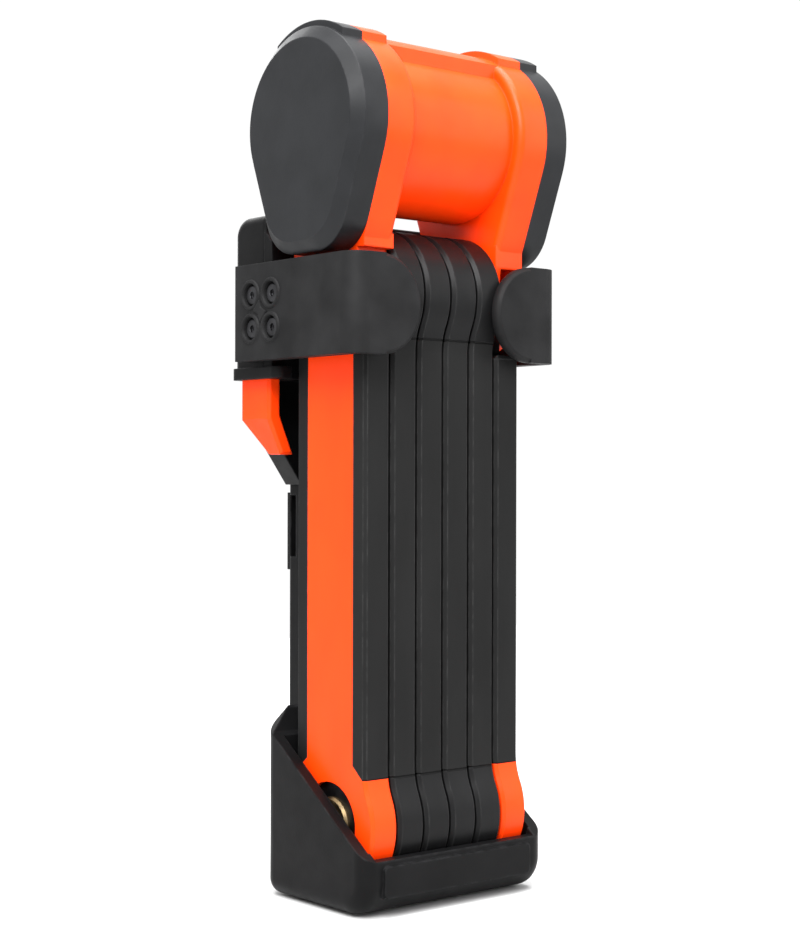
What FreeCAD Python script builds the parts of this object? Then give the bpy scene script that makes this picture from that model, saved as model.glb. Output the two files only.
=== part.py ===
import FreeCAD, Part
import math
import os

# Folding bike lock stored in its bike carrier.
# Frame: X across the stack of links, -Y the front, +Y the side of the bike frame, +Z up.
# The origin is the middle of the cup's underside. All sizes are in millimetres.

V = FreeCAD.Vector

# Fits
RUNNING_FIT = 0.05
PART_GAP = 0.3
BEYOND = 5.0

# Stack of links
LINK_COUNT = 6
LINK_PITCH = 8.6
PIVOT_BOTTOM = 20.2
PIVOT_TOP = 150.7
LINK_HALF_WIDTH = 13.75
HEAD_RADIUS = 17.0
NECK_BLEND = 15.0
COVER_THICKNESS = 8.0
EDGE_BEVEL = 0.8
BAR_THICKNESS = 5.0
BAR_HALF_WIDTH = 11.0
BAR_END_RADIUS = 11.5
TONGUE_RADIUS = 8.0
TONGUE_SHOULDER = PIVOT_TOP - 13.7
CORE_THICKNESS = 6.6
CORE_HALF_WIDTH = 12.75
SEAM_BOTTOM = 32.2
SEAM_TOP = 139.8
STRIPE_HALF_WIDTH = 9.1
STRIPE_SLANT_HALF_WIDTH = 12.9
STRIPE_SLANT_RISE = 3.2

# Rivets between the links
RIVET_RADIUS = 3.5
RIVET_HEAD_RADIUS = 7.4
FIRST_HEAD_RADIUS = 6.4
RIVET_HEAD_HEIGHT = 1.3
RIVET_BEVEL = 0.6
RECESS_RADIUS = 8.4
OUTER_RECESS_RADIUS = 10.2
SPACER_RADIUS = 7.6

# Lock head
HEAD_CENTRE = 192.2
BARREL_RADIUS = 20.4
BARREL_BAND_RADIUS = 23.2
CHEEK_RADIUS = 23.3
CHEEK_BAND_RADIUS = 24.9
BAND_HALF_WIDTH = 13.2
BAND_INSET = 1.6
CHEEK_TAPER = math.radians(20.7)
CHEEK_FOOT = 160.2
CHEEK_CORNER = 2.0
CHEEK_ROUNDING = 1.8
LEG_INNER = 17.0
LEG_OUTER = 26.2
FOOT_RADIUS = 13.2
FOOT_HALF_WIDTH = 14.1
FOOT_WIDENS_AT = PIVOT_TOP + 9.0
FOOT_TOP = 165.0
FORK_GAP = 5.4
FORK_ROOF = PIVOT_TOP + 8.4
LEDGE_FRONT = -11.4
LEDGE_TOP = 161.4

# End caps
CAP_RIM = 33.2
CAP_FACE = 35.6
CAP_BEVEL = 3.0
CAP_WALL = 2.2
CAP_FOOT = 160.4
CAP_CORNER = 12.0
CAP_FACE_FOOT = 163.2
CAP_FACE_CORNER = 11.0
CAP_HOLLOW_FOOT = 162.8
CAP_HOLLOW_CORNER = 8.0
CAP_POST_RADIUS = 2.0
CAP_POST_Y = 13.5
CAP_POST_Z = 203.5
CAP_POST_END = 20.4

# Lock cylinder
SHELL_RADIUS = 9.5
SHELL_START = 5.2
SHELL_END = 29.8
CORE_RADIUS = 6.5
CORE_BORE = 5.0
CORE_START = 4.9
CORE_END = 34.4
KEYWAY_RADIUS = 3.6
KEYWAY_FLAT = 1.9
DISC_COUNT = 9
DISC_PITCH = 2.4
DISC_THICKNESS = 1.9
DISC_RADIUS = 4.9
DISC_START = 8.0
DISC_SLOT_RADIUS = 2.6
DISC_SLOT_FLAT = 1.5
CAM_RADIUS = 8.0
CAM_ROOM_RADIUS = 8.4
PEG_RADIUS = 2.0
PEG_ARM = 5.66
PEG_END = -4.1
CAM_BACK = -0.4

# Sliding bolt: a yoke plate behind the cam, an arm to the right and a finger down into the fork
BOLT_STROKE = 8.0
YOKE_X = (-4.2, -0.8)
YOKE_Y = (-13.4, 0.5)
YOKE_Z = (190.4, 202.0)
ARM_BACK = -9.9
ARM_TOP = 198.0
FINGER_X = (19.1, 23.9)
FINGER_FRONT = -12.4
FINGER_BACK = -8.6
FINGER_LOW = FORK_ROOF + 0.6
FINGER_NECK = 178.0
FINGER_STEM_LOW = 170.0
YOKE_SLOT_Y = (-8.2, -1.4)
YOKE_SLOT_HALF = 2.3

# Dust cover over the keyway
COVER_RADIUS = 9.0
COVER_LOBE_RADIUS = 4.2
COVER_PIN_Z = 207.0
COVER_SHEET = 1.6
COVER_GAP = 0.2
STUD_RADIUS = 1.5
STUD_HEAD_RADIUS = 2.8
GRIP_RADIUS = 0.9

# Cup of the carrier
CUP_HALF_WIDTH = 29.8
CUP_FRONT = -19.2
CUP_BACK = 21.5
CUP_FRONT_TOP = 13.6
CUP_SIDE_FRONT = CUP_FRONT_TOP
CUP_SIDE_BACK = 40.9
CUP_TOP = 47.0
CUP_TOP_HALF_WIDTH = 22.3
CUP_BACK_CORNER = 18.5
CUP_BOTTOM_ROUND = 8.0
CUP_CORNER_ROUND = 4.0
CAVITY_HALF_WIDTH = 26.7
CAVITY_RADIUS = 17.4
CAVITY_TOP = 80.0
FRONT_NOTCH_Y = -14.0
PANEL_HALF_WIDTH = 24.0
PANEL_LOW = 4.6
PANEL_HIGH = 12.3
PANEL_RAISE = 0.8
PANEL_ROUND = 1.2
CUP_SCREW_Z = (24.0, 38.0)
CUP_SCREW_SEAT = 19.4

# Small screws that hold the cup and the head block on the rail
SCREW_RADIUS = 1.5
SCREW_HEAD_RADIUS = 3.2
SCREW_HEAD_ROOM = 3.4
SCREW_SOCKET_RADIUS = 1.4
SCREW_CLEARANCE = 1.7
SCREW_END = 31.0

# Rail and the pad behind it
RAIL_HALF_WIDTH = 12.5
RAIL_FRONT = 21.5
RAIL_BACK = 35.5
RAIL_LOW = 6.0
RAIL_HIGH = 150.0
RAIL_ROUND = 2.0
CHANNEL_HALF_WIDTH = 9.3
CHANNEL_FLOOR = 30.0
CHANNEL_Z = (48.0, 129.0)
SLOT_Y = (31.6, 34.4)
SLOT_Z = (84.5, 100.8)
HOLE_LOW = 58.0
HOLE_HIGH = 122.0
HOLE_RADIUS = 2.75
COUNTERBORE_RADIUS = 5.2
COUNTERBORE_END = 31.2
PAD_HALF_WIDTH = 11.5
PAD_THICKNESS = 1.7
PAD_Z = (81.0, 101.5)

# Head block
BLOCK_HALF_WIDTH = 29.9
BLOCK_FRONT = 18.6
BLOCK_PLATE_FRONT = 21.5
BLOCK_LOW = 131.0
BLOCK_TOP = 172.6
BLOCK_SIDE_ROUND = 2.5
BLOCK_BACK_ROUND = 5.0
BLOCK_EDGE_ROUND = 1.0
CRADLE_TOP = 168.0
CRADLE_BEVEL = 2.8
JAW_INNER = 26.8
JAW_FRONT = 8.0
JAW_Z = (136.6, 157.8)
JAW_ROUND = 5.0
SHELF_INNER = 12.6
SHELF_OUTER = 31.0
SHELF_LIP_INNER = 26.2
SHELF_FRONT = 15.0
SHELF_Z = (130.6, 133.6)
SHELF_ROUND = 2.4
WING = [(12.6, 103.8), (13.4, 103.6), (21.0, 114.2), (21.0, 132.0), (12.6, 132.0)]
WING_Y = (28.0, 34.9)
HEAD_SCREW_Z = (135.5, 144.5)
HEAD_SCREW_SEAT = 20.0

# Rubber strap arms
STRAP_INNER = 30.05
STRAP_OUTER = 34.2
STRAP_LOW = 135.0
STRAP_HIGH = 159.4
STRAP_FRONT = -20.0
STRAP_FRONT_INNER = -17.4
STRAP_BACK = 28.6
STRAP_TIP = 12.5
STRAP_GUSSET_BACK = -12.0
STRAP_GUSSET_INNER = 24.0
STRAP_BEND = 5.0
STRAP_BEVEL = 0.9
STRAP_SCREW_Y = (13.3, 21.9)
STRAP_SCREW_Z = (143.1, 151.6)
STRAP_SCREW_END = (27.0, 23.0)
STRAP_SCREW_RADIUS = 1.4
STRAP_SCREW_HEAD = 2.6
STRAP_SCREW_ROOM = 2.9
STRAP_SCREW_SEAT = STRAP_OUTER - 1.8

# Release lever
LEVER_PIN_X = -26.4
LEVER_PIN_Z = 137.0
LEVER_PIN_RADIUS = 1.5
LEVER_Y = (22.0, 34.0)
LEVER_OUTLINE = [(-28.3, 140.0), (-28.3, 120.5), (-24.2, 111.4), (-20.2, 111.4), (-24.4, 121.5),
                 (-24.4, 140.0)]
LEVER_BACK = [(34.1, 120.5), (27.4, 111.3), (27.4, 105.0), (36.0, 105.0), (36.0, 120.5)]
LEVER_BEVEL = 0.7
SPRING_ROOM_Y = (25.4, 30.6)
SPRING_ROOM_LOW = 134.3
SPRING_ROOM_OUTER_LOW = 133.5
SPRING_RADIUS = 2.1
SPRING_WIRE = 0.4
SPRING_TURNS = 5
SPRING_START = 26.2
SPRING_PITCH = 0.85
POCKET_X = (-29.0, -22.3)
POCKET_Y = (21.6, 34.4)
POCKET_Z = (120.0, 142.0)


def box(x0, x1, y0, y1, z0, z1):
    return Part.makeBox(x1 - x0, y1 - y0, z1 - z0, V(x0, y0, z0))


def rod_x(radius, x0, x1, y, z):
    return Part.makeCylinder(radius, x1 - x0, V(x0, y, z), V(1, 0, 0))


def rod_y(radius, y0, y1, x, z):
    return Part.makeCylinder(radius, y1 - y0, V(x, y0, z), V(0, 1, 0))


def plate_x(points, x0, x1):
    """A plate of constant thickness along X from a closed outline of (y, z) points."""
    corners = [V(x0, y, z) for y, z in points]
    wire = Part.makePolygon(corners + [corners[0]])
    return Part.Face(wire).extrude(V(x1 - x0, 0, 0))


def plate_y(points, y0, y1):
    """A plate of constant thickness along Y from a closed outline of (x, z) points."""
    corners = [V(x, y0, z) for x, z in points]
    wire = Part.makePolygon(corners + [corners[0]])
    return Part.Face(wire).extrude(V(0, y1 - y0, 0))


def edge_in_plane(edge, axis, value):
    first, last = edge.FirstParameter, edge.LastParameter
    points = [edge.valueAt(at) for at in (first, (first + last) / 2, last)]
    return all(abs(getattr(point, axis) - value) < 1e-4 for point in points)


def runs_along(edge, axis, least):
    bounds = edge.BoundBox
    spans = {"x": bounds.XMax - bounds.XMin, "y": bounds.YMax - bounds.YMin, "z": bounds.ZMax - bounds.ZMin}
    return spans[axis] > least


def rounded(shape, radius, test):
    return shape.makeFillet(radius, [edge for edge in shape.Edges if test(edge)])


def bevelled(shape, size, test):
    return shape.makeChamfer(size, [edge for edge in shape.Edges if test(edge)])


def mirrored(shape):
    return shape.mirror(V(0, 0, 0), V(1, 0, 0))


def sided(side, near, far):
    """The two X limits, low then high, of something that lies from near to far on one side."""
    return sorted((side * near, side * far))


def save(name, *solids):
    os.makedirs("parts", exist_ok=True)
    shape = solids[0] if len(solids) == 1 else Part.makeCompound(list(solids))
    if len(solids) == 1 and len(shape.Solids) == 1:
        shape = shape.Solids[0]
    shape.exportStep("parts/" + name + ".step")


# ---------------------------------------------------------------- links

def link_x(number):
    """Middle plane of link 1 (left) to link 6 (right)."""
    return (number - (LINK_COUNT + 1) / 2) * LINK_PITCH


def has_upper_head(number):
    return number not in (1, LINK_COUNT)


def joint_height(number):
    """Height of the rivet between link number and the next one."""
    return PIVOT_BOTTOM if number % 2 == 1 else PIVOT_TOP


def neck_points():
    """Where the round head meets the concave blend, the blend's middle, and its end on the side."""
    reach = LINK_HALF_WIDTH + NECK_BLEND
    rise = math.sqrt((HEAD_RADIUS + NECK_BLEND) ** 2 - reach ** 2)
    share = HEAD_RADIUS / (HEAD_RADIUS + NECK_BLEND)
    on_head = (reach * share, rise * share)
    half = (math.atan2(-rise, -reach) - math.pi) / 2
    middle = (reach + NECK_BLEND * math.cos(half), rise + NECK_BLEND * math.sin(half))
    on_side = (LINK_HALF_WIDTH, rise)
    return on_head, middle, on_side


def head_arcs(x, centre, up):
    """The round end and its two neck blends; up is 1 for the upper end and -1 for the lower."""
    head, middle, side = neck_points()
    corner = {sign: V(x, sign * head[0], centre - up * head[1]) for sign in (-1, 1)}
    end = {sign: V(x, sign * side[0], centre - up * side[1]) for sign in (-1, 1)}
    arcs = [Part.Arc(corner[-1], V(x, 0, centre + up * HEAD_RADIUS), corner[1]).toShape()]
    for sign in (-1, 1):
        bend = V(x, sign * middle[0], centre - up * middle[1])
        arcs.append(Part.Arc(corner[sign], bend, end[sign]).toShape())
    return arcs, end


def cover_blank(number):
    """Whole outside shape of a link: round heads that swell past straight sides, with bevelled edges."""
    x = link_x(number) - COVER_THICKNESS / 2
    edges, low = head_arcs(x, PIVOT_BOTTOM, -1)
    if has_upper_head(number):
        arcs, high = head_arcs(x, PIVOT_TOP, 1)
        edges += arcs
    else:
        high = {sign: V(x, sign * LINK_HALF_WIDTH, TONGUE_SHOULDER) for sign in (-1, 1)}
        edges.append(Part.makeLine(high[-1], high[1]))
    for sign in (-1, 1):
        edges.append(Part.makeLine(low[sign], high[sign]))
    solid = Part.Face(Part.Wire(Part.__sortEdges__(edges))).extrude(V(COVER_THICKNESS, 0, 0))
    return bevelled(solid, EDGE_BEVEL,
                    lambda e: edge_in_plane(e, "x", x) or edge_in_plane(e, "x", x + COVER_THICKNESS))


def bar_of(number):
    """Flat hardened bar with a round end at each pivot; outer links end in a bare tongue."""
    x0 = link_x(number) - BAR_THICKNESS / 2
    x1 = x0 + BAR_THICKNESS
    bar = rod_x(BAR_END_RADIUS, x0, x1, 0, PIVOT_BOTTOM)
    if has_upper_head(number):
        bar = bar.fuse(box(x0, x1, -BAR_HALF_WIDTH, BAR_HALF_WIDTH, PIVOT_BOTTOM, PIVOT_TOP))
        bar = bar.fuse(rod_x(BAR_END_RADIUS, x0, x1, 0, PIVOT_TOP))
    else:
        shoulder = TONGUE_SHOULDER - PART_GAP
        bar = bar.fuse(box(x0, x1, -BAR_HALF_WIDTH, BAR_HALF_WIDTH, PIVOT_BOTTOM, shoulder))
        bar = bar.fuse(box(x0, x1, -TONGUE_RADIUS, TONGUE_RADIUS, shoulder - 1, PIVOT_TOP))
        bar = bar.fuse(rod_x(TONGUE_RADIUS, x0, x1, 0, PIVOT_TOP))
    return bar.removeSplitter()


def sleeve_zone(number):
    """Room of the edge sleeve: all round an inner link, open over the stripe of an outer link."""
    x = link_x(number)
    low = SEAM_BOTTOM
    high = SEAM_TOP if has_upper_head(number) else TONGUE_SHOULDER - 3 * PART_GAP
    wide = HEAD_RADIUS + BEYOND
    zone = box(x - COVER_THICKNESS, x + COVER_THICKNESS, -wide, wide, low, high)
    core = box(x - CORE_THICKNESS / 2, x + CORE_THICKNESS / 2, -CORE_HALF_WIDTH, CORE_HALF_WIDTH,
               low - 1, high + 1)
    zone = zone.cut(core)
    if has_upper_head(number):
        return zone
    x0, x1 = sorted((x, x + (-1 if number == 1 else 1) * COVER_THICKNESS))
    half = STRIPE_HALF_WIDTH
    stripe = plate_x([(-half, low - 1), (half, low - 1), (half, high + 1), (-half, high + 1)], x0, x1)
    for sign in (-1, 1):
        slant = [(sign * half, low - 1), (sign * STRIPE_SLANT_HALF_WIDTH, low - 1),
                 (sign * STRIPE_SLANT_HALF_WIDTH, low), (sign * half, low + STRIPE_SLANT_RISE)]
        stripe = stripe.fuse(plate_x(slant, x0, x1))
    return zone.cut(stripe)


def make_links():
    for number in range(1, LINK_COUNT + 1):
        x = link_x(number)
        half_bar = BAR_THICKNESS / 2
        left, right = x - COVER_THICKNESS, x + COVER_THICKNESS
        bar = bar_of(number)
        blank = cover_blank(number)
        zone = sleeve_zone(number)
        cover = blank.cut(zone).cut(bar)
        if number < LINK_COUNT:
            height = joint_height(number)
            outer = OUTER_RECESS_RADIUS if number == 1 else RECESS_RADIUS
            cover = cover.cut(rod_x(outer, left, x - half_bar, 0, height))
            cover = cover.cut(rod_x(RECESS_RADIUS, x + half_bar, right, 0, height))
            bar = bar.cut(rod_x(RIVET_RADIUS, left, right, 0, height))
        if number > 1:
            height = joint_height(number - 1)
            outer = OUTER_RECESS_RADIUS if number == LINK_COUNT else RECESS_RADIUS
            cover = cover.cut(rod_x(RECESS_RADIUS, left, x - half_bar, 0, height))
            cover = cover.cut(rod_x(outer, x + half_bar, right, 0, height))
            bar = bar.cut(rod_x(RIVET_RADIUS + RUNNING_FIT, left, right, 0, height))
        if number == 1:
            bar = bar.cut(rod_x(RIVET_RADIUS + RUNNING_FIT, left, right, 0, PIVOT_TOP))
        save("link_%d_bar" % number, bar)
        save("link_%d_cover" % number, cover)
        save("link_%d_sleeve" % number, blank.common(zone))


def make_rivets():
    """One rivet and one spacer ring join each pair of neighbouring links."""
    for number in range(1, LINK_COUNT):
        height = joint_height(number)
        near = link_x(number) - BAR_THICKNESS / 2
        last = link_x(number + 1) + BAR_THICKNESS / 2 + RUNNING_FIT
        head = FIRST_HEAD_RADIUS if number == 1 else RIVET_HEAD_RADIUS
        ends = (near - RIVET_HEAD_HEIGHT, last + RIVET_HEAD_HEIGHT)
        near_head = bevelled(rod_x(head, ends[0], near, 0, height), RIVET_BEVEL,
                             lambda e: edge_in_plane(e, "x", ends[0]))
        far_head = bevelled(rod_x(RIVET_HEAD_RADIUS, last, ends[1], 0, height), RIVET_BEVEL,
                            lambda e: edge_in_plane(e, "x", ends[1]))
        rivet = near_head.fuse(rod_x(RIVET_RADIUS, near, last, 0, height)).fuse(far_head).removeSplitter()
        save("rivet_%d%d" % (number, number + 1), rivet)
        start = link_x(number) + BAR_THICKNESS / 2
        end = link_x(number + 1) - BAR_THICKNESS / 2 - RUNNING_FIT
        ring = rod_x(SPACER_RADIUS, start, end, 0, height)
        ring = ring.cut(rod_x(RIVET_RADIUS, start - 1, end + 1, 0, height))
        save("spacer_%d%d" % (number, number + 1), ring)


# ---------------------------------------------------------------- lock head

def egg_wire(x, inset, bottom, corner):
    """Closed outline, round on top and narrowing to a rounded foot, in the plane at x."""
    radius = CHEEK_RADIUS - inset
    slope = (math.cos(CHEEK_TAPER), math.sin(CHEEK_TAPER))
    touch = (radius * slope[0], HEAD_CENTRE - radius * slope[1])
    centre_z = bottom + corner
    centre_y = touch[0] - (corner - (centre_z - touch[1]) * slope[1]) / slope[0]
    on_side = (centre_y + corner * slope[0], centre_z - corner * slope[1])
    size = math.hypot(slope[0], 1 + slope[1])
    middle = (centre_y + corner * slope[0] / size, centre_z - corner * (1 + slope[1]) / size)
    crown = V(x, 0, HEAD_CENTRE + radius)
    left = [V(x, -y, z) for y, z in (touch, on_side, middle, (centre_y, bottom))]
    right = [V(x, y, z) for y, z in (touch, on_side, middle, (centre_y, bottom))]
    edges = [
        Part.Arc(right[0], crown, left[0]).toShape(),
        Part.makeLine(left[0], left[1]),
        Part.Arc(left[1], left[2], left[3]).toShape(),
        Part.makeLine(left[3], right[3]),
        Part.Arc(right[3], right[2], right[1]).toShape(),
        Part.makeLine(right[1], right[0]),
    ]
    return Part.Wire(edges)


def egg_plate(x0, x1, inset, bottom, corner):
    return Part.Face(egg_wire(x0, inset, bottom, corner)).extrude(V(x1 - x0, 0, 0))


def top_band(radius, x0, x1):
    """Raised strip that runs along X over the top."""
    keep = box(x0, x1, -BAND_HALF_WIDTH, BAND_HALF_WIDTH, HEAD_CENTRE, HEAD_CENTRE + 2 * radius)
    return rod_x(radius, x0, x1, 0, HEAD_CENTRE).common(keep)


def foot_plate(x0, x1):
    """Round-ended foot below the cheek, with room between its two walls for a link's tongue."""
    half_side = [(FOOT_RADIUS, PIVOT_TOP), (FOOT_HALF_WIDTH, FOOT_WIDENS_AT), (FOOT_HALF_WIDTH, FOOT_TOP)]
    outline = half_side + [(-y, z) for y, z in reversed(half_side)]
    foot = rod_x(FOOT_RADIUS, x0, x1, 0, PIVOT_TOP).fuse(plate_x(outline, x0, x1))
    middle = link_x(LINK_COUNT)
    fork = box(middle - FORK_GAP / 2, middle + FORK_GAP / 2, -HEAD_RADIUS, HEAD_RADIUS,
               PIVOT_TOP - HEAD_RADIUS, FORK_ROOF)
    return foot.cut(fork)


def half_head():
    """Right cheek with its foot."""
    cheek = egg_plate(LEG_INNER, LEG_OUTER, 0, CHEEK_FOOT, CHEEK_CORNER)
    cheek_low = HEAD_CENTRE - CHEEK_RADIUS
    cheek = rounded(cheek, CHEEK_ROUNDING,
                    lambda e: edge_in_plane(e, "x", LEG_INNER) and e.BoundBox.ZMax > cheek_low)
    band = top_band(CHEEK_BAND_RADIUS, LEG_INNER + BAND_INSET, LEG_OUTER)
    return cheek.fuse(foot_plate(LEG_INNER, LEG_OUTER)).fuse(band)


def bolt_solid(grow, drop):
    """Yoke plate, cross arm and finger of the sliding bolt; grow and drop make its room."""
    low = -grow - drop
    front, back = FINGER_FRONT - grow, ARM_BACK + grow
    yoke = box(YOKE_X[0] - grow, YOKE_X[1] + grow, YOKE_Y[0] - grow, YOKE_Y[1] + grow,
               YOKE_Z[0] + low, YOKE_Z[1] + grow)
    arm = box(YOKE_X[0] - grow, FINGER_X[1] + grow, YOKE_Y[0] - grow, back, YOKE_Z[0] + low, ARM_TOP + grow)
    stem = box(FINGER_X[0] - grow, FINGER_X[1] + grow, front, back, FINGER_STEM_LOW + low, ARM_TOP + grow)
    finger = box(FINGER_X[0] - grow, FINGER_X[1] + grow, front, FINGER_BACK + grow,
                 FINGER_LOW + low, FINGER_NECK + grow)
    return yoke.fuse(arm).fuse(stem).fuse(finger)


def cap_posts(x0, x1):
    return [rod_x(CAP_POST_RADIUS, x0, x1, y, CAP_POST_Z) for y in (-CAP_POST_Y, CAP_POST_Y)]


def make_housing():
    right = half_head()
    reach = LEG_INNER + 2
    barrel = rod_x(BARREL_RADIUS, -reach, reach, 0, HEAD_CENTRE)
    barrel = barrel.fuse(top_band(BARREL_BAND_RADIUS, -reach, reach))
    housing = barrel.fuse(right).fuse(mirrored(right)).removeSplitter()
    ledge = box(-LEG_OUTER - 1, -LEG_INNER + 1, -HEAD_RADIUS - BEYOND, LEDGE_FRONT,
                PIVOT_TOP - HEAD_RADIUS, LEDGE_TOP)
    rooms = [
        ledge,
        rod_x(SHELL_RADIUS, SHELL_START - 0.2, LEG_OUTER + BEYOND, 0, HEAD_CENTRE),
        rod_x(CAM_ROOM_RADIUS, PEG_END - 0.5, SHELL_START, 0, HEAD_CENTRE),
        bolt_solid(PART_GAP, BOLT_STROKE),
        rod_x(RIVET_RADIUS, -LEG_OUTER + 0.4, -LEG_INNER + 1, 0, PIVOT_TOP),
        rod_x(CHEEK_RADIUS - 10.3, -LEG_OUTER - 1, -CAM_RADIUS, 0, HEAD_CENTRE),
    ]
    rooms += cap_posts(CAP_POST_END - 0.2, LEG_OUTER + BEYOND)
    rooms += cap_posts(-LEG_OUTER - BEYOND, -CAP_POST_END + 0.2)
    for room in rooms:
        housing = housing.cut(room)
    save("lock_housing", housing)
    pin = rod_x(RIVET_RADIUS, -LEG_OUTER + 0.4, -LEG_INNER - 0.1, 0, PIVOT_TOP)
    save("pivot_pin", pin)


def make_caps():
    cap = egg_plate(LEG_OUTER, CAP_RIM, 0, CAP_FOOT, CAP_CORNER)
    rim = egg_wire(CAP_RIM, 0, CAP_FOOT, CAP_CORNER)
    face = egg_wire(CAP_FACE, CAP_BEVEL, CAP_FACE_FOOT, CAP_FACE_CORNER)
    cap = cap.fuse(Part.makeLoft([rim, face], True, True))
    cap = cap.fuse(top_band(CHEEK_BAND_RADIUS, LEG_OUTER, CAP_RIM - 1)).removeSplitter()
    cap = cap.cut(egg_plate(LEG_OUTER, CAP_RIM, CAP_WALL, CAP_HOLLOW_FOOT, CAP_HOLLOW_CORNER))
    for post in cap_posts(CAP_POST_END, CAP_RIM + 0.2):
        cap = cap.fuse(post)
    cap = cap.removeSplitter()
    save("end_cap_left", mirrored(cap))
    collar = rod_x(SHELL_RADIUS + 0.1, SHELL_END + 0.2, CAP_RIM + 0.2, 0, HEAD_CENTRE)
    right = cap.fuse(collar).cut(rod_x(CORE_RADIUS + 0.4, LEG_OUTER, CAP_FACE + BEYOND, 0, HEAD_CENTRE))
    right = right.cut(rod_x(STUD_RADIUS, SHELL_END, CAP_FACE + BEYOND, 0, COVER_PIN_Z))
    save("end_cap_right", right.removeSplitter())


def keyway(radius, flat, x0, x1):
    """Round key slot with a flat on its lower side."""
    return rod_x(radius, x0, x1, 0, HEAD_CENTRE).common(
        box(x0, x1, -radius, radius, HEAD_CENTRE - flat, HEAD_CENTRE + radius))


def make_cylinder():
    shell = rod_x(SHELL_RADIUS, SHELL_START, SHELL_END, 0, HEAD_CENTRE)
    shell = shell.cut(rod_x(CORE_RADIUS + RUNNING_FIT, 0, CAP_FACE, 0, HEAD_CENTRE))
    shell = bevelled(shell, 0.5, lambda e: edge_in_plane(e, "x", SHELL_END) and e.Length > 6 * SHELL_RADIUS)
    save("cylinder_shell", shell)

    end_wall = 3.4
    plug = rod_x(CORE_RADIUS, CORE_START, CORE_END, 0, HEAD_CENTRE)
    plug = plug.cut(rod_x(CORE_BORE, DISC_START - 1, CORE_END - end_wall, 0, HEAD_CENTRE))
    plug = plug.cut(keyway(KEYWAY_RADIUS, KEYWAY_FLAT, CORE_END - end_wall - 1, CORE_END + 1))
    save("core_plug", plug)
    discs = []
    for index in range(DISC_COUNT):
        x = DISC_START + index * DISC_PITCH
        disc = rod_x(DISC_RADIUS, x, x + DISC_THICKNESS, 0, HEAD_CENTRE)
        discs.append(disc.cut(keyway(DISC_SLOT_RADIUS, DISC_SLOT_FLAT, x - 1, x + DISC_PITCH)))
    save("disc_pack", *discs)

    along = PEG_ARM * math.cos(math.radians(45))
    cam = rod_x(CAM_RADIUS, CAM_BACK, CORE_START, 0, HEAD_CENTRE)
    peg = rod_x(PEG_RADIUS, PEG_END, CAM_BACK, -along, HEAD_CENTRE + along)
    save("drive_cam", cam.fuse(peg).removeSplitter())

    slot_z = HEAD_CENTRE + along
    slot = box(YOKE_X[0] - 1, 0, *YOKE_SLOT_Y, slot_z - YOKE_SLOT_HALF, slot_z + YOKE_SLOT_HALF)
    save("lock_bolt", bolt_solid(0, 0).cut(slot).removeSplitter())


def make_dust_cover():
    low = CAP_FACE + COVER_GAP
    high = low + COVER_SHEET
    neck = [(-8.4, HEAD_CENTRE + 3), (8.4, HEAD_CENTRE + 3), (4.1, COVER_PIN_Z + 1), (-4.1, COVER_PIN_Z + 1)]
    cover = rod_x(COVER_RADIUS, low, high, 0, HEAD_CENTRE)
    cover = cover.fuse(rod_x(COVER_LOBE_RADIUS, low, high, 0, COVER_PIN_Z)).fuse(plate_x(neck, low, high))
    grip = rod_y(GRIP_RADIUS, -4.0, 4.0, high, HEAD_CENTRE - 6.0)
    cover = cover.removeSplitter().fuse(grip)
    cover = cover.cut(rod_x(STUD_RADIUS + RUNNING_FIT, SHELL_END, CAP_FACE + BEYOND, 0, COVER_PIN_Z))
    save("dust_cover", cover.removeSplitter())
    stud = rod_x(STUD_RADIUS, CAP_RIM + PART_GAP, high + 0.1, 0, COVER_PIN_Z)
    stud = stud.fuse(rod_x(STUD_HEAD_RADIUS, high + 0.1, high + 0.8, 0, COVER_PIN_Z))
    save("dust_cover_stud", stud.removeSplitter())


# ---------------------------------------------------------------- carrier

def small_screw(z, seat):
    """Screw along Y with a socket head in front of its seat."""
    head = rod_y(SCREW_HEAD_RADIUS, seat - 1.8, seat, 0, z)
    shank = rod_y(SCREW_RADIUS, seat, SCREW_END, 0, z)
    socket = rod_y(SCREW_SOCKET_RADIUS, seat - 2.4, seat - 0.8, 0, z)
    return head.fuse(shank).cut(socket).removeSplitter()


def screw_room(shape, z, seat):
    shape = shape.cut(rod_y(SCREW_CLEARANCE, 15, 30, 0, z))
    return shape.cut(rod_y(SCREW_HEAD_ROOM, 15, seat, 0, z))


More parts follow.
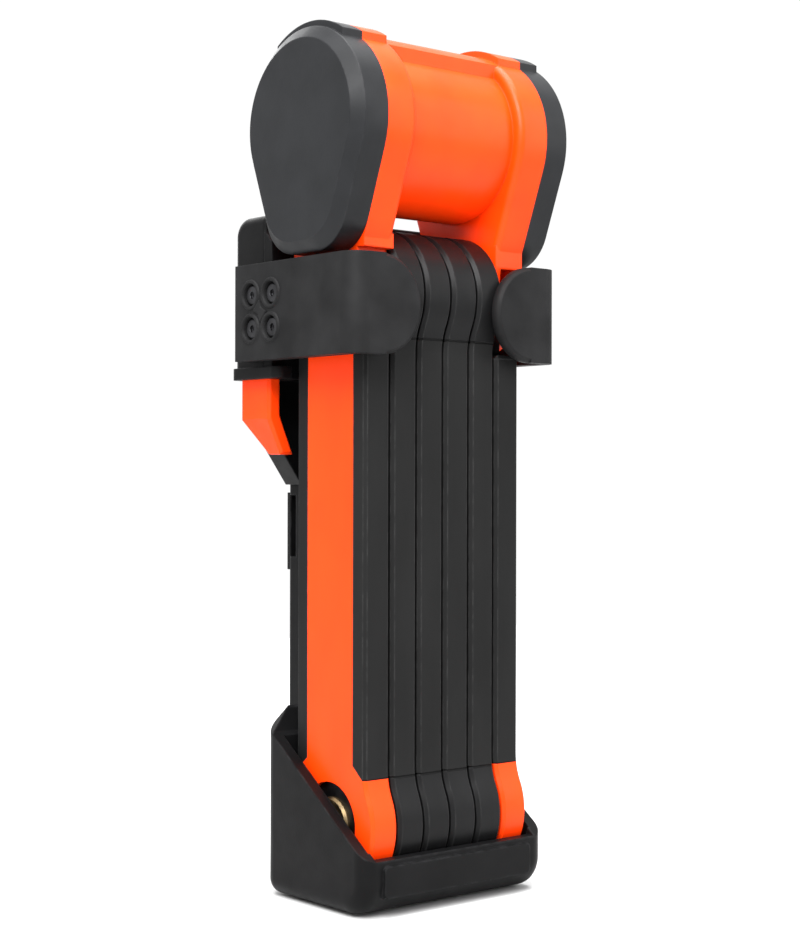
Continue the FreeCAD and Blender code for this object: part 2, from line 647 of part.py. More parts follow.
def make_cup():
    outline = [(CUP_FRONT, 0), (CUP_BACK, 0), (CUP_BACK, CUP_TOP), (CUP_BACK_CORNER, CUP_SIDE_BACK),
               (CUP_FRONT, CUP_SIDE_FRONT)]
    cup = plate_x(outline, -CUP_HALF_WIDTH, CUP_HALF_WIDTH)
    cup = rounded(cup, CUP_BOTTOM_ROUND,
                  lambda e: edge_in_plane(e, "y", CUP_FRONT) and edge_in_plane(e, "z", 0))

    def on_side(edge):
        return not runs_along(edge, "x", 0.1) and abs(abs(edge.BoundBox.XMax) - CUP_HALF_WIDTH) < 0.1

    def on_rim(edge):
        return runs_along(edge, "y", 10) and runs_along(edge, "z", 10)

    cup = rounded(cup, CUP_CORNER_ROUND, lambda e: on_side(e) and e.BoundBox.YMax < CUP_BACK - 0.1
                  and (e.BoundBox.YMin < CUP_FRONT + 0.1 or e.BoundBox.ZMax < CUP_BOTTOM_ROUND + 2)
                  and not on_rim(e))
    cup = rounded(cup, CUP_CORNER_ROUND,
                  lambda e: edge_in_plane(e, "y", CUP_BACK) and not runs_along(e, "x", 0.1))
    slope_foot = CUP_SIDE_BACK - 0.5
    slope_outside = CUP_HALF_WIDTH + 8
    for side in (-1, 1):
        slope = [(side * CUP_TOP_HALF_WIDTH, CUP_TOP), (side * CUP_HALF_WIDTH, slope_foot),
                 (side * slope_outside, slope_foot), (side * slope_outside, CUP_TOP + 1),
                 (side * CUP_TOP_HALF_WIDTH, CUP_TOP + 1)]
        cup = cup.cut(plate_y(slope, CUP_BACK_CORNER - BEYOND, CUP_BACK + 1))
    cavity = rod_x(CAVITY_RADIUS, -CAVITY_HALF_WIDTH, CAVITY_HALF_WIDTH, 0, PIVOT_BOTTOM)
    cavity = cavity.fuse(box(-CAVITY_HALF_WIDTH, CAVITY_HALF_WIDTH, -CAVITY_RADIUS, CAVITY_RADIUS,
                             PIVOT_BOTTOM, CAVITY_TOP))
    notch = box(-CAVITY_HALF_WIDTH + 0.6, CAVITY_HALF_WIDTH - 0.6, CUP_FRONT - BEYOND, FRONT_NOTCH_Y,
                CUP_FRONT_TOP, CAVITY_TOP)
    cup = cup.cut(cavity).cut(notch)
    panel = box(-PANEL_HALF_WIDTH, PANEL_HALF_WIDTH, CUP_FRONT - PANEL_RAISE, CUP_FRONT + 1,
                PANEL_LOW, PANEL_HIGH)
    panel = rounded(panel, PANEL_ROUND, lambda e: runs_along(e, "y", 1))
    backing = box(-PANEL_HALF_WIDTH, PANEL_HALF_WIDTH, CUP_FRONT, CUP_FRONT + 3.5, PANEL_LOW, PANEL_HIGH)
    cup = cup.fuse(panel).fuse(backing).removeSplitter()
    for z in CUP_SCREW_Z:
        cup = screw_room(cup, z, CUP_SCREW_SEAT)
    save("base_cup", cup)
    save("cup_screws", *[small_screw(z, CUP_SCREW_SEAT) for z in CUP_SCREW_Z])


def make_rail():
    rail = box(-RAIL_HALF_WIDTH, RAIL_HALF_WIDTH, RAIL_FRONT, RAIL_BACK, RAIL_LOW, RAIL_HIGH)
    rail = rounded(rail, RAIL_ROUND, lambda e: runs_along(e, "z", 100))
    rail = rail.cut(box(-CHANNEL_HALF_WIDTH, CHANNEL_HALF_WIDTH, RAIL_FRONT - 1, CHANNEL_FLOOR, *CHANNEL_Z))
    rail = rail.cut(box(-RAIL_HALF_WIDTH - 1, RAIL_HALF_WIDTH + 1, *SLOT_Y, *SLOT_Z))
    for z in (HOLE_LOW, HOLE_HIGH):
        rail = rail.cut(rod_y(HOLE_RADIUS, RAIL_FRONT - 1, RAIL_BACK + 1, 0, z))
        rail = rail.cut(rod_y(COUNTERBORE_RADIUS, RAIL_FRONT - 1, COUNTERBORE_END, 0, z))
    for z in CUP_SCREW_Z + HEAD_SCREW_Z:
        rail = rail.cut(rod_y(SCREW_RADIUS, RAIL_FRONT - 1, SCREW_END, 0, z))
    save("back_rail", rail)
    pad = box(-PAD_HALF_WIDTH, PAD_HALF_WIDTH, RAIL_BACK, RAIL_BACK + PAD_THICKNESS, *PAD_Z)
    pad = rounded(pad, 0.8, lambda e: edge_in_plane(e, "y", RAIL_BACK + PAD_THICKNESS))
    save("frame_pad", pad)


def strap_screw_spots():
    """(y, z, inner end) of the four screws; the front two stop in the thin jaw."""
    return [(y, z, end) for y, end in zip(STRAP_SCREW_Y, STRAP_SCREW_END) for z in STRAP_SCREW_Z]


def block_side(side):
    """Jaw, shelf and lower wing on one side of the block."""
    x0, x1 = sided(side, JAW_INNER, BLOCK_HALF_WIDTH)
    jaw = box(x0, x1, JAW_FRONT, BLOCK_FRONT + 1, *JAW_Z)
    jaw = rounded(jaw, JAW_ROUND, lambda e: edge_in_plane(e, "y", JAW_FRONT) and runs_along(e, "x", 2))
    x0, x1 = sided(side, SHELF_LIP_INNER, SHELF_OUTER)
    lip = box(x0, x1, SHELF_FRONT, RAIL_BACK, *SHELF_Z)
    lip = rounded(lip, SHELF_ROUND,
                  lambda e: edge_in_plane(e, "x", side * SHELF_OUTER) and runs_along(e, "z", 2))
    x0, x1 = sided(side, SHELF_INNER, SHELF_LIP_INNER + 1)
    shelf = box(x0, x1, BLOCK_FRONT, RAIL_BACK, *SHELF_Z)
    wing = plate_y([(side * x, z) for x, z in WING], *WING_Y)
    return [jaw, lip, shelf, wing]


def make_block():
    block = box(-BLOCK_HALF_WIDTH, BLOCK_HALF_WIDTH, BLOCK_PLATE_FRONT, RAIL_BACK, BLOCK_LOW, BLOCK_TOP)
    block = rounded(block, BLOCK_BACK_ROUND,
                    lambda e: edge_in_plane(e, "y", RAIL_BACK) and edge_in_plane(e, "z", BLOCK_TOP))
    block = rounded(block, BLOCK_SIDE_ROUND,
                    lambda e: edge_in_plane(e, "z", BLOCK_TOP) and runs_along(e, "y", 5))
    block = rounded(block, BLOCK_EDGE_ROUND,
                    lambda e: edge_in_plane(e, "y", BLOCK_PLATE_FRONT) and e.BoundBox.ZMax > BLOCK_LOW + 1)
    cradle = box(-BLOCK_HALF_WIDTH, BLOCK_HALF_WIDTH, BLOCK_FRONT, BLOCK_PLATE_FRONT + 0.5,
                 BLOCK_LOW, CRADLE_TOP)
    cradle = bevelled(cradle, CRADLE_BEVEL,
                      lambda e: edge_in_plane(e, "y", BLOCK_FRONT) and edge_in_plane(e, "z", CRADLE_TOP))
    block = block.fuse(cradle)
    for side in (-1, 1):
        for piece in block_side(side):
            block = block.fuse(piece)
    rail_room = box(-SHELF_INNER, SHELF_INNER, RAIL_FRONT - 0.1, RAIL_BACK + 1,
                    WING[0][1] - BEYOND, RAIL_HIGH + 0.1)
    block = block.cut(rail_room).cut(box(*POCKET_X, *POCKET_Y, *POCKET_Z))
    block = block.cut(rod_y(LEVER_PIN_RADIUS, BLOCK_FRONT + 1, WING_Y[1], LEVER_PIN_X, LEVER_PIN_Z))
    for side in (-1, 1):
        for y, z, end in strap_screw_spots():
            x0, x1 = sided(side, end - 0.4, STRAP_OUTER)
            block = block.cut(rod_x(STRAP_SCREW_RADIUS, x0, x1, y, z))
    for z in HEAD_SCREW_Z:
        block = screw_room(block, z, HEAD_SCREW_SEAT)
    save("head_block", block.removeSplitter())
    save("head_screws", *[head_screw(z) for z in HEAD_SCREW_Z])


def head_screw(z):
    """Like the cup's screws, with a lower head that stays inside the block."""
    head = rod_y(SCREW_HEAD_RADIUS, HEAD_SCREW_SEAT - 1.2, HEAD_SCREW_SEAT, 0, z)
    socket = rod_y(SCREW_SOCKET_RADIUS, HEAD_SCREW_SEAT - 2, HEAD_SCREW_SEAT - 0.6, 0, z)
    return head.cut(socket).fuse(rod_y(SCREW_RADIUS, HEAD_SCREW_SEAT, SCREW_END, 0, z)).removeSplitter()


def strap_screw(y, z, end):
    top = STRAP_OUTER - 0.5
    screw = rod_x(STRAP_SCREW_HEAD, STRAP_SCREW_SEAT, top, y, z)
    screw = bevelled(screw, 0.4, lambda e: edge_in_plane(e, "x", top))
    screw = screw.fuse(rod_x(STRAP_SCREW_RADIUS, end, STRAP_SCREW_SEAT, y, z))
    return screw.cut(rod_x(0.9, top - 0.8, STRAP_OUTER, y, z)).removeSplitter()


def make_straps():
    """Two rubber arms that hold the lock's feet, each fixed by four screws near its back end."""
    heights = (STRAP_LOW, STRAP_HIGH)
    half = (STRAP_HIGH - STRAP_LOW) / 2
    arm = box(STRAP_INNER, STRAP_OUTER, STRAP_FRONT, STRAP_BACK, *heights)
    corner = box(STRAP_GUSSET_INNER, STRAP_OUTER, STRAP_FRONT, STRAP_GUSSET_BACK, *heights)
    inside = box(STRAP_GUSSET_INNER - 1, STRAP_INNER, STRAP_FRONT_INNER, STRAP_GUSSET_BACK + 1,
                 STRAP_LOW - 1, STRAP_HIGH + 1)
    arm = arm.fuse(corner.cut(inside)).removeSplitter()
    arm = rounded(arm, STRAP_BEND,
                  lambda e: edge_in_plane(e, "y", STRAP_FRONT) and edge_in_plane(e, "x", STRAP_OUTER))
    tip = rod_y(half, STRAP_FRONT, STRAP_FRONT_INNER, STRAP_TIP + half, STRAP_LOW + half)
    tip = tip.common(box(0, STRAP_TIP + half, STRAP_FRONT, STRAP_FRONT_INNER, *heights))
    bar = box(STRAP_TIP + half, STRAP_GUSSET_INNER + 4, STRAP_FRONT, STRAP_FRONT_INNER, *heights)
    arm = arm.fuse(tip.fuse(bar)).removeSplitter()
    arm = bevelled(arm, STRAP_BEVEL, lambda e: edge_in_plane(e, "y", STRAP_FRONT) and e.Length > 10)
    for y, z, end in strap_screw_spots():
        arm = arm.cut(rod_x(STRAP_SCREW_RADIUS + 0.2, end, STRAP_OUTER, y, z))
        arm = arm.cut(rod_x(STRAP_SCREW_ROOM, STRAP_SCREW_SEAT, STRAP_OUTER + 1, y, z))
    save("strap_arm_right", arm)
    save("strap_arm_left", mirrored(arm))
    right = [strap_screw(*spot) for spot in strap_screw_spots()]
    save("strap_screws", *[mirrored(screw) for screw in right], *right)


def make_lever():
    """Thumb lever that hangs from a pin inside the head block and bends in towards the rail."""
    lever = plate_y(LEVER_OUTLINE, *LEVER_Y)
    left, right = LEVER_OUTLINE[0][0], LEVER_OUTLINE[3][0]
    lever = lever.cut(plate_x(LEVER_BACK, left - 1, right + 1))
    lever = lever.cut(box(left - 1, LEVER_PIN_X + 0.4, *SPRING_ROOM_Y, SPRING_ROOM_OUTER_LOW, POCKET_Z[1]))
    lever = lever.cut(box(left - 1, right + 1, *SPRING_ROOM_Y, SPRING_ROOM_LOW, POCKET_Z[1]))
    lever = bevelled(lever, LEVER_BEVEL,
                     lambda e: edge_in_plane(e, "y", LEVER_Y[0]) and e.BoundBox.ZMin < LEVER_PIN_Z + 2)
    lever = lever.cut(rod_y(LEVER_PIN_RADIUS + RUNNING_FIT, LEVER_Y[0] - 1, LEVER_Y[1] + 1,
                            LEVER_PIN_X, LEVER_PIN_Z))
    save("release_lever", lever.removeSplitter())
    save("lever_pin", rod_y(LEVER_PIN_RADIUS, BLOCK_FRONT + 1.1, WING_Y[1], LEVER_PIN_X, LEVER_PIN_Z))
    length = (SPRING_TURNS - 1) * SPRING_PITCH
    spring = rod_y(SPRING_WIRE, SPRING_START, SPRING_START + length, LEVER_PIN_X, LEVER_PIN_Z + SPRING_RADIUS)
    for index in range(SPRING_TURNS):
        centre = V(LEVER_PIN_X, SPRING_START + index * SPRING_PITCH, LEVER_PIN_Z)
        spring = spring.fuse(Part.makeTorus(SPRING_RADIUS, SPRING_WIRE, centre, V(0, 1, 0)))
    save("lever_spring", spring)


def make_parts():
    make_links()
    make_rivets()
    make_housing()
    make_caps()
    make_cylinder()
    make_dust_cover()
    make_cup()
    make_rail()
    make_block()
    make_straps()
    make_lever()


make_parts()
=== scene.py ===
import math

import bmesh
import bpy
from mathutils import Matrix, Vector


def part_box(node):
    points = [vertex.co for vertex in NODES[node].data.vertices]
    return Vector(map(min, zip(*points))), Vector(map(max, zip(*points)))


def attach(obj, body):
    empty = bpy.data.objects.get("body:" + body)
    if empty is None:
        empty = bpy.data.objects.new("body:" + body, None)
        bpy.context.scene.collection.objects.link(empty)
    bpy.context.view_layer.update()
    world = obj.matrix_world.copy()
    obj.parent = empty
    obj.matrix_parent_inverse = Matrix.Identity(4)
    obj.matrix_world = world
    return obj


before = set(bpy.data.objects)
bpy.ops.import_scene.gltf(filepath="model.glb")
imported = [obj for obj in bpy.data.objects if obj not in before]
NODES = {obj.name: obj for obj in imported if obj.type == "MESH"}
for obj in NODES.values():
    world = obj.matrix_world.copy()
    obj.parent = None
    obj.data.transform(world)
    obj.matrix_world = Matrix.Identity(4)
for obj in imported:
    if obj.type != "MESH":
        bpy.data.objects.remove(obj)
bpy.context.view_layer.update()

MM = 0.001

# Colours, linear.
ORANGE = (1.0, 0.052, 0.0015)
ORANGE_DEEP = (0.95, 0.042, 0.001)
GROOVE_BLACK = (0.002, 0.002, 0.002)
WHITE = (1.0, 1.0, 1.0)

# From here on lengths are in millimetres unless a comment says metres.
# A link has a dark groove where its sleeve meets each of its heads.
SEAM_LOW = 32.2
SEAM_HIGH = 139.8
SEAM_EDGES = (0.16, 0.34)
SEAM_DEPTH = 0.3

# Link 6's cover is black above BLACK_FROM_Z, except at its outer face, beyond BLACK_UP_TO_X.
# Each is a start and an end, between which one colour turns into the other.
BLACK_FROM_Z = (129.9, 130.1)
BLACK_UP_TO_X = (25.0, 25.1)

# Cosine of the angle from the true to the softened normal: a sharp edge, an open face.
EDGE_COSINES = (0.82, 0.995)

ROUNDED = {"strap_arm_left": 1.1, "strap_arm_right": 1.1, "release_lever": 0.5, "head_block": 0.4}
ROUNDING_ANGLE = 50.0
ROUNDING_STEPS = 3
WELD_DISTANCE = 0.002

# Screw seats on the outside of a strap arm, and the raised rings and web around them.
SEAT_Y = (13.3, 21.9)
SEAT_Z = (143.1, 151.6)
RAISED = 0.42
SUNK = 0.02
RING_INNER = 2.9
RING_OUTER = 4.0
RING_STEPS = 28
INNER_SLOPE = 0.2
OUTER_SLOPE = 0.35
WEB_OVERLAP = 0.25
WEB_END_HALF = 1.95
WEB_WAIST_HALF = 1.2

FLOOR_REACH = 620.0
FLOOR_DROP = 0.4
WORLD_STRENGTH = 1.02

# Each lamp: place and aim in metres, width and height in metres, watts.
LAMPS = {
    "key": ((-0.42, -0.36, 0.62), (0, 0, 0.18), 0.45, 0.45, 11.0),
    "fill": ((0.75, -0.85, 0.55), (0, 0, 0.11), 0.6, 0.9, 4.0),
    "top": ((0.0, -0.05, 0.85), (0, 0, 0.15), 0.7, 0.5, 12.0),
    "rear": ((0.3, 0.95, 0.65), (0, 0, 0.11), 0.8, 0.8, 5.0),
}

CAMERA_PLACE = (-303.35, -359.62, 105.37)
CAMERA_FORWARD = (0.64101, 0.76753, 0.00255)
CAMERA_ROLL = 0.126
CAMERA_LENS = 69.92
SENSOR_WIDTH = 36.0
CLIP_RANGE_M = (0.01, 20.0)


# ------------------------------------------------------------------ node materials

class Shader:
    """One Principled material and short ways to add nodes to it."""

    def __init__(self, name):
        self.material = bpy.data.materials.new(name)
        self.material.use_nodes = True
        self.nodes = self.material.node_tree.nodes
        self.links = self.material.node_tree.links
        self.surface = self.nodes["Principled BSDF"]
        self.place = self.nodes.new("ShaderNodeTexCoord").outputs["Object"]

    def join(self, source, target):
        self.links.new(source, target)

    def feed(self, socket, value):
        """Sets a number or colour on the socket, or joins another node's output to it."""
        if isinstance(value, tuple):
            socket.default_value = (*value, 1.0)
        elif isinstance(value, (int, float)):
            socket.default_value = value
        else:
            self.join(value, socket)

    def noise(self, scale, detail=2.0, stretch=(1, 1, 1)):
        mapping = self.nodes.new("ShaderNodeMapping")
        mapping.inputs["Scale"].default_value = stretch
        self.join(self.place, mapping.inputs["Vector"])
        node = self.nodes.new("ShaderNodeTexNoise")
        node.inputs["Scale"].default_value = scale
        node.inputs["Detail"].default_value = detail
        node.inputs["Roughness"].default_value = 0.5
        self.join(mapping.outputs["Vector"], node.inputs["Vector"])
        return node.outputs["Fac"]

    def spread(self, source, low, high, start=0.3, end=0.7):
        """Maps start..end to low..high and holds the value outside."""
        node = self.nodes.new("ShaderNodeMapRange")
        limits = {"From Min": start, "From Max": end, "To Min": low, "To Max": high}
        for socket, value in limits.items():
            node.inputs[socket].default_value = value
        self.join(source, node.inputs["Value"])
        return node.outputs["Result"]

    def blend(self, amount, first, second):
        node = self.nodes.new("ShaderNodeMix")
        node.data_type = "RGBA"
        colours = [socket for socket in node.inputs if socket.type == "RGBA"]
        for socket, value in zip(colours, (first, second)):
            self.feed(socket, value)
        self.join(amount, node.inputs["Factor"])
        return [socket for socket in node.outputs if socket.type == "RGBA"][0]

    def compute(self, operation, first, second=0.0):
        node = self.nodes.new("ShaderNodeMath")
        node.operation = operation
        for socket, value in zip(node.inputs, (first, second)):
            self.feed(socket, value)
        return node.outputs["Value"]

    def coordinates(self):
        node = self.nodes.new("ShaderNodeSeparateXYZ")
        self.join(self.place, node.inputs["Vector"])
        return node.outputs

    def cloudy(self, first, second, scale, detail, stretch=(1, 1, 1)):
        """Two close colours in soft patches."""
        return self.blend(self.spread(self.noise(scale, detail, stretch), 0.0, 1.0), first, second)

    def soft_edges(self, radius):
        node = self.nodes.new("ShaderNodeBevel")
        node.samples = 4
        node.inputs["Radius"].default_value = radius * MM
        return node.outputs["Normal"]

    def relief(self, height, depth, strength, below):
        node = self.nodes.new("ShaderNodeBump")
        node.inputs["Strength"].default_value = strength
        node.inputs["Distance"].default_value = depth * MM
        self.join(height, node.inputs["Height"])
        self.join(below, node.inputs["Normal"])
        return node.outputs["Normal"]

    def sharp_edges(self, radius):
        """How far the softened normal leaves the true one: 1 on sharp edges, 0 on open faces."""
        softened = self.soft_edges(radius)
        true = self.nodes.new("ShaderNodeNewGeometry").outputs["Normal"]
        dot = self.nodes.new("ShaderNodeVectorMath")
        dot.operation = "DOT_PRODUCT"
        self.join(softened, dot.inputs[0])
        self.join(true, dot.inputs[1])
        return self.spread(dot.outputs["Value"], 1.0, 0.0, *EDGE_COSINES)

    def wear_and_highlight_on_edges(self, tint, edge_wear_and_highlight, radius, patches):
        """Shows the edge colour on sharp edges, broken up by the patches: real wear on the mouldings, a
        painted highlight on the link sleeves and heads.
        """
        return self.blend(self.compute("MULTIPLY", self.sharp_edges(radius), patches), tint, edge_wear_and_highlight)

    def finish(self, colour, roughness, normal):
        self.join(colour, self.surface.inputs["Base Color"])
        self.join(roughness, self.surface.inputs["Roughness"])
        self.join(normal, self.surface.inputs["Normal"])
        return self.material


def moulded(name, colour, other, roughness, grain, depth, edge, specular, coat=0.0, edge_wear_and_highlight=None):
    """Moulded plastic or rubber: faint cloudy colour, fine grain and softened edges."""
    make = Shader(name)
    tint = make.cloudy(colour, other, scale=90.0, detail=3.0)
    if edge_wear_and_highlight is not None:
        patches = make.spread(make.noise(scale=420.0, detail=4.0), 0.0, 1.0, start=0.4, end=0.62)
        tint = make.wear_and_highlight_on_edges(tint, edge_wear_and_highlight, radius=edge * 1.6, patches=patches)
    uneven = make.spread(make.noise(scale=240.0, detail=4.0), roughness - 0.05, roughness + 0.07)
    normal = make.relief(make.noise(grain), depth, strength=0.55, below=make.soft_edges(edge))
    make.surface.inputs["Specular IOR Level"].default_value = specular
    make.surface.inputs["Coat Weight"].default_value = coat
    make.surface.inputs["Coat Roughness"].default_value = 0.22
    return make.finish(tint, uneven, normal)


def brushed(name, colour, other, roughness, stretch, dull=0.12):
    """Machined metal: fine lines across the axis with the large scale, and duller patches."""
    make = Shader(name)
    cloud = make.noise(scale=260.0, detail=5.0)
    tint = make.blend(make.spread(cloud, 0.0, 1.0), colour, other)
    lines = make.noise(scale=900.0, detail=3.0, stretch=stretch)
    normal = make.relief(lines, depth=0.02, strength=0.5, below=make.soft_edges(0.25))
    make.surface.inputs["Metallic"].default_value = 1.0
    return make.finish(tint, make.spread(cloud, roughness, roughness + dull), normal)


def seam_mask(make, height_axis, seams):
    """1 in the groove at each seam height, 0 elsewhere."""
    mask = None
    for seam in seams:
        away = make.compute("ABSOLUTE", make.compute("SUBTRACT", height_axis, seam * MM))
        near = make.spread(away, 1.0, 0.0, *(edge * MM for edge in SEAM_EDGES))
        mask = near if mask is None else make.compute("MAXIMUM", mask, near)
    return mask


def upper_inside(make, axes):
    """1 where link 6's cover is black, 0 elsewhere."""
    above = make.spread(axes["Z"], 0.0, 1.0, *(edge * MM for edge in BLACK_FROM_Z))
    inside = make.spread(axes["X"], 1.0, 0.0, *(edge * MM for edge in BLACK_UP_TO_X))
    return make.compute("MULTIPLY", above, inside)


def jacket(name, colour, other, roughness, seams, specular, edge_wear_and_highlight=None, upper=None):
    """Smooth sleeve or head of a link, with a fine dark groove at each seam, and a painted highlight on
    its sharp edges when an edge colour is given.
    """
    make = Shader(name)
    axes = make.coordinates()
    groove = seam_mask(make, axes["Z"], seams)
    tint = make.cloudy(colour, other, scale=70.0, detail=4.0, stretch=(1, 1, 0.35))
    # The lighter edge colour here is a painted highlight, where the sleeve and head edges catch the
    # light.
    if edge_wear_and_highlight is not None:
        patches = make.spread(make.noise(scale=300.0, detail=4.0), 0.25, 1.0, start=0.4, end=0.6)
        tint = make.wear_and_highlight_on_edges(tint, edge_wear_and_highlight, radius=0.55, patches=patches)
    if upper is not None:
        tint = make.blend(upper_inside(make, axes), tint, upper)
    tint = make.blend(groove, tint, GROOVE_BLACK)
    normal = make.relief(make.noise(2600.0), depth=0.012, strength=0.5, below=make.soft_edges(0.3))
    normal = make.relief(make.compute("SUBTRACT", 1.0, groove), SEAM_DEPTH, strength=1.0, below=normal)
    make.surface.inputs["Specular IOR Level"].default_value = specular
    streaks = make.noise(scale=160.0, detail=4.0, stretch=(1, 1, 0.3))
    return make.finish(tint, make.spread(streaks, roughness - 0.05, roughness + 0.08), normal)


def grey(level, blue=None):
    return (level, level, level if blue is None else blue)


# ------------------------------------------------------------------ the carried-over pieces

def numbered(pattern, numbers):
    return [pattern % number for number in numbers]


# Rivets and spacers are numbered by the two links that they join.
LINKS = range(1, 7)
PAIRS = (12, 23, 34, 45, 56)

rubber = moulded("strap_rubber", grey(0.0065, 0.0068), grey(0.0125, 0.0130), roughness=0.55,
                 grain=700.0, depth=0.045, edge=0.5, specular=0.10)

PAINT = [
    (moulded("orange_moulding", ORANGE, ORANGE_DEEP, roughness=0.34, grain=2200.0, depth=0.010,
             edge=0.5, specular=0.15, coat=0.02),
     ["lock_housing"]),
    (moulded("orange_lever", ORANGE, ORANGE_DEEP, roughness=0.42, grain=1900.0, depth=0.014,
             edge=0.5, specular=0.14),
     ["release_lever"]),
    (moulded("black_carrier", grey(0.0032, 0.0034), grey(0.0050, 0.0053), roughness=0.42,
             grain=1500.0, depth=0.030, edge=0.6, specular=0.08, edge_wear_and_highlight=grey(0.017, 0.018)),
     ["base_cup", "back_rail", "head_block"]),
    (moulded("black_cap", (0.0095, 0.0100, 0.0110), (0.0130, 0.0136, 0.0150), roughness=0.40,
             grain=1300.0, depth=0.022, edge=0.45, specular=0.15, edge_wear_and_highlight=grey(0.024, 0.026)),
     ["end_cap_left", "end_cap_right", "dust_cover"]),
    (rubber, ["strap_arm_left", "strap_arm_right"]),
    (moulded("pad_rubber", grey(0.007), grey(0.011), roughness=0.7, grain=1800.0, depth=0.04,
             edge=0.3, specular=0.12),
     ["frame_pad"]),
    # The lighter edge colours given to the sleeves and link heads are painted highlights.
    (jacket("black_sleeve", grey(0.0068), grey(0.0100), roughness=0.48, seams=(SEAM_LOW, SEAM_HIGH),
            specular=0.08, edge_wear_and_highlight=grey(0.05)),
     numbered("link_%d_sleeve", LINKS)),
    (jacket("black_link_head", grey(0.0040, 0.0042), grey(0.0065, 0.0068), roughness=0.38,
            seams=(SEAM_LOW, SEAM_HIGH), specular=0.11, edge_wear_and_highlight=grey(0.04)),
     numbered("link_%d_cover", LINKS[1:-1])),
    (jacket("orange_link_head", ORANGE, ORANGE_DEEP, roughness=0.36, seams=(SEAM_HIGH,), specular=0.14),
     ["link_1_cover"]),
    (jacket("orange_link_6_head", ORANGE, ORANGE_DEEP, roughness=0.36, seams=(SEAM_HIGH,),
            specular=0.14, upper=grey(0.005)),
     ["link_6_cover"]),
    (brushed("black_oxide_steel", grey(0.035, 0.037), grey(0.065, 0.07), roughness=0.36,
             stretch=(1, 6, 1)),
     ["strap_screws"] + numbered("link_%d_bar", LINKS)),
    (brushed("ground_steel", grey(0.44, 0.45), grey(0.58, 0.6), roughness=0.28, stretch=(1, 1, 14)),
     ["pivot_pin", "drive_cam", "lock_bolt", "dust_cover_stud", "lever_pin", "lever_spring",
      "cup_screws", "head_screws"] + numbered("spacer_%d", PAIRS)),
    (brushed("yellow_zinc", (0.045, 0.040, 0.030), (0.34, 0.24, 0.12), roughness=0.30,
             stretch=(1, 9, 1), dull=0.25),
     numbered("rivet_%d", PAIRS)),
    (brushed("turned_brass", (0.62, 0.44, 0.18), (0.78, 0.6, 0.3), roughness=0.26,
             stretch=(1, 8, 8)),
     ["cylinder_shell", "core_plug", "disc_pack"]),
]


def paint(piece, material):
    if not piece.material_slots:
        piece.data.materials.append(material)
    for slot in piece.material_slots:
        slot.material = material


def soften(piece, width):
    """Rounds the piece's sharp moulded corners."""
    weld = piece.modifiers.new("weld", "WELD")
    weld.merge_threshold = WELD_DISTANCE * MM
    edge = piece.modifiers.new("rounding", "BEVEL")
    edge.width = width * MM
    edge.segments = ROUNDING_STEPS
    edge.limit_method = "ANGLE"
    edge.angle_limit = math.radians(ROUNDING_ANGLE)
    edge.harden_normals = False


for material, names in PAINT:
    for name in names:
        paint(NODES[name], material)
for name, width in ROUNDED.items():
    soften(NODES[name], width)


# ------------------------------------------------------------------ raised webs on the strap arms

def circle(form, x, centre, radius):
    """Points of a circle in the plane across X, with centre and radius in metres."""
    points = []
    for step in range(RING_STEPS):
        angle = 2 * math.pi * step / RING_STEPS
        points.append(form.verts.new((x, centre[0] + radius * math.cos(angle),
                                      centre[1] + radius * math.sin(angle))))
    return points


def add_ring(form, face, foot, top, centre):
    """A raised ring round one screw seat, open underneath."""
    rims = [circle(form, face, centre, RING_INNER * MM),
            circle(form, top, centre, (RING_INNER + INNER_SLOPE) * MM),
            circle(form, top, centre, (RING_OUTER - OUTER_SLOPE) * MM),
            circle(form, foot, centre, RING_OUTER * MM)]
    for inner, outer in zip(rims, rims[1:]):
        for step in range(RING_STEPS):
            after = (step + 1) % RING_STEPS
            form.faces.new((inner[step], inner[after], outer[after], outer[step]))


def web_outline():
    """Y and Z in metres of the web's corners, from the lower front ring to the upper back one."""
    span = Vector((SEAT_Y[1] - SEAT_Y[0], SEAT_Z[1] - SEAT_Z[0])) * MM
    along = span.normalized()
    across = Vector((-along.y, along.x))
    middle = Vector((sum(SEAT_Y), sum(SEAT_Z))) * MM / 2
    reach = span.length / 2 - (RING_OUTER - WEB_OVERLAP) * MM
    end, waist = WEB_END_HALF * MM, WEB_WAIST_HALF * MM
    corners = [(-reach, -end), (0, -waist), (reach, -end), (reach, end), (0, waist), (-reach, end)]
    return [middle + along * a + across * b for a, b in corners]


def add_web(form, foot, top):
    """A closed low block over the outline, with sides that lean in."""
    outline = web_outline()
    middle = sum(outline, Vector((0, 0))) / len(outline)
    lower, upper = [], []
    for point in outline:
        away = point - middle
        near = middle + away * (1 - OUTER_SLOPE * MM / away.length)
        lower.append(form.verts.new((foot, *point)))
        upper.append(form.verts.new((top, *near)))
    for index in range(len(outline)):
        after = (index + 1) % len(outline)
        form.faces.new((lower[index], lower[after], upper[after], upper[index]))
    form.faces.new(upper)
    form.faces.new(list(reversed(lower)))


def raised_web(name, arm, side):
    """The raised rings round the four screw seats outside a strap arm, and the web between two."""
    low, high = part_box(arm)
    face = low.x if side < 0 else high.x
    foot = face - side * SUNK * MM
    top = face + side * RAISED * MM
    form = bmesh.new()
    for y in SEAT_Y:
        for z in SEAT_Z:
            add_ring(form, face, foot, top, (y * MM, z * MM))
    add_web(form, foot, top)
    bmesh.ops.recalc_face_normals(form, faces=form.faces)
    mesh = bpy.data.meshes.new(name)
    form.to_mesh(mesh)
    form.free()
    piece = bpy.data.objects.new(name, mesh)
    bpy.context.scene.collection.objects.link(piece)
    paint(piece, rubber)
    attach(piece, "carrier")


raised_web("strap_web_left", "strap_arm_left", -1)
raised_web("strap_web_right", "strap_arm_right", 1)


# ------------------------------------------------------------------ floor, light, camera

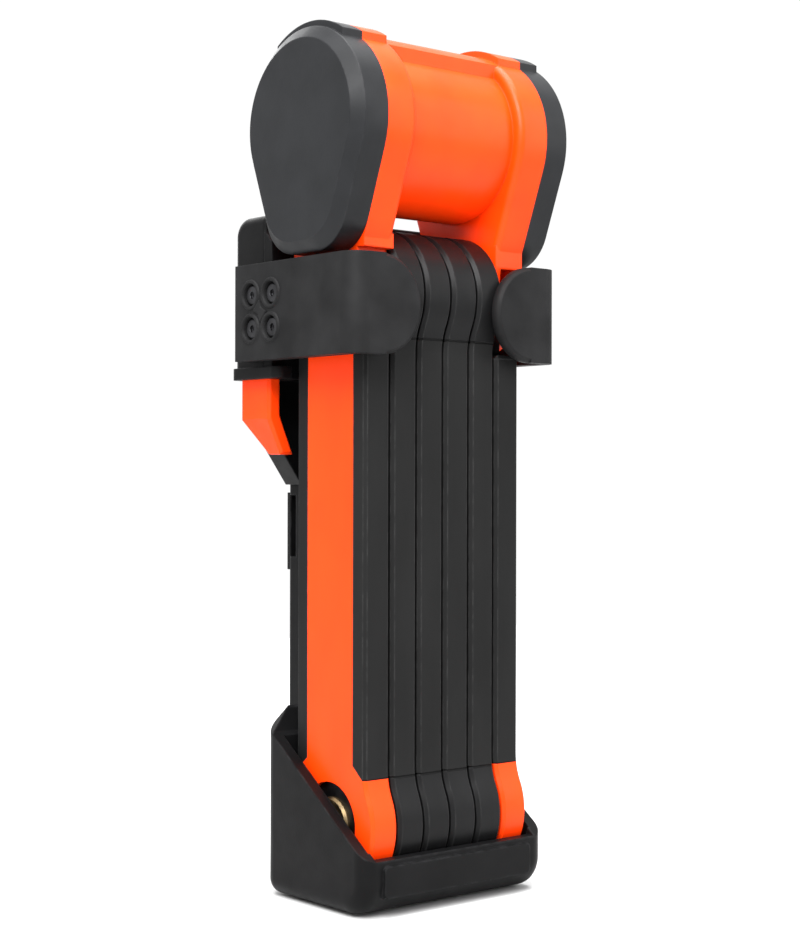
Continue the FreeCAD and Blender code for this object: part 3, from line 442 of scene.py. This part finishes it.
def add_floor():
    reach = FLOOR_REACH * MM
    mesh = bpy.data.meshes.new("floor")
    corners = [(-reach, -reach, 0), (reach, -reach, 0), (reach, reach, 0), (-reach, reach, 0)]
    mesh.from_pydata(corners, [], [(0, 1, 2, 3)])
    plane = bpy.data.objects.new("floor", mesh)
    plane.location.z = -FLOOR_DROP * MM
    bpy.context.scene.collection.objects.link(plane)
    make = Shader("pale_floor")
    tint = make.cloudy(grey(0.56), grey(0.58), scale=3.0, detail=2.0)
    make.join(tint, make.surface.inputs["Base Color"])
    make.surface.inputs["Specular IOR Level"].default_value = 0.1
    make.surface.inputs["Roughness"].default_value = 0.9
    plane.data.materials.append(make.material)


def add_world():
    world = bpy.data.worlds.new("studio")
    bpy.context.scene.world = world
    world.use_nodes = True
    back = world.node_tree.nodes["Background"]
    back.inputs["Color"].default_value = (*WHITE, 1.0)
    back.inputs["Strength"].default_value = WORLD_STRENGTH


def add_lamp(name, place, aim, width, height, watts):
    data = bpy.data.lights.new(name, "AREA")
    data.shape = "RECTANGLE"
    data.size, data.size_y = width, height
    data.energy = watts
    light = bpy.data.objects.new(name, data)
    light.location = place
    light.rotation_euler = (Vector(aim) - Vector(place)).to_track_quat("-Z", "Y").to_euler()
    bpy.context.scene.collection.objects.link(light)


def add_camera():
    """The camera at the place, direction and roll that fit the photograph."""
    place = Vector(CAMERA_PLACE) * MM
    forward = Vector(CAMERA_FORWARD).normalized()
    level = forward.cross(Vector((0, 0, 1))).normalized()
    upright = level.cross(forward)
    roll = math.radians(CAMERA_ROLL)
    right = level * math.cos(roll) + upright * math.sin(roll)
    up = upright * math.cos(roll) - level * math.sin(roll)
    data = bpy.data.cameras.new("photo_camera")
    data.sensor_width = SENSOR_WIDTH
    data.lens = CAMERA_LENS
    data.clip_start, data.clip_end = CLIP_RANGE_M
    eye = bpy.data.objects.new("photo_camera", data)
    columns = Matrix((right, up, -forward)).transposed().to_4x4()
    eye.matrix_world = Matrix.Translation(place) @ columns
    bpy.context.scene.collection.objects.link(eye)
    bpy.context.scene.camera = eye


add_floor()
add_world()
for name, settings in LAMPS.items():
    add_lamp(name, *settings)
add_camera()
bpy.context.scene.view_settings.view_transform = "Standard"
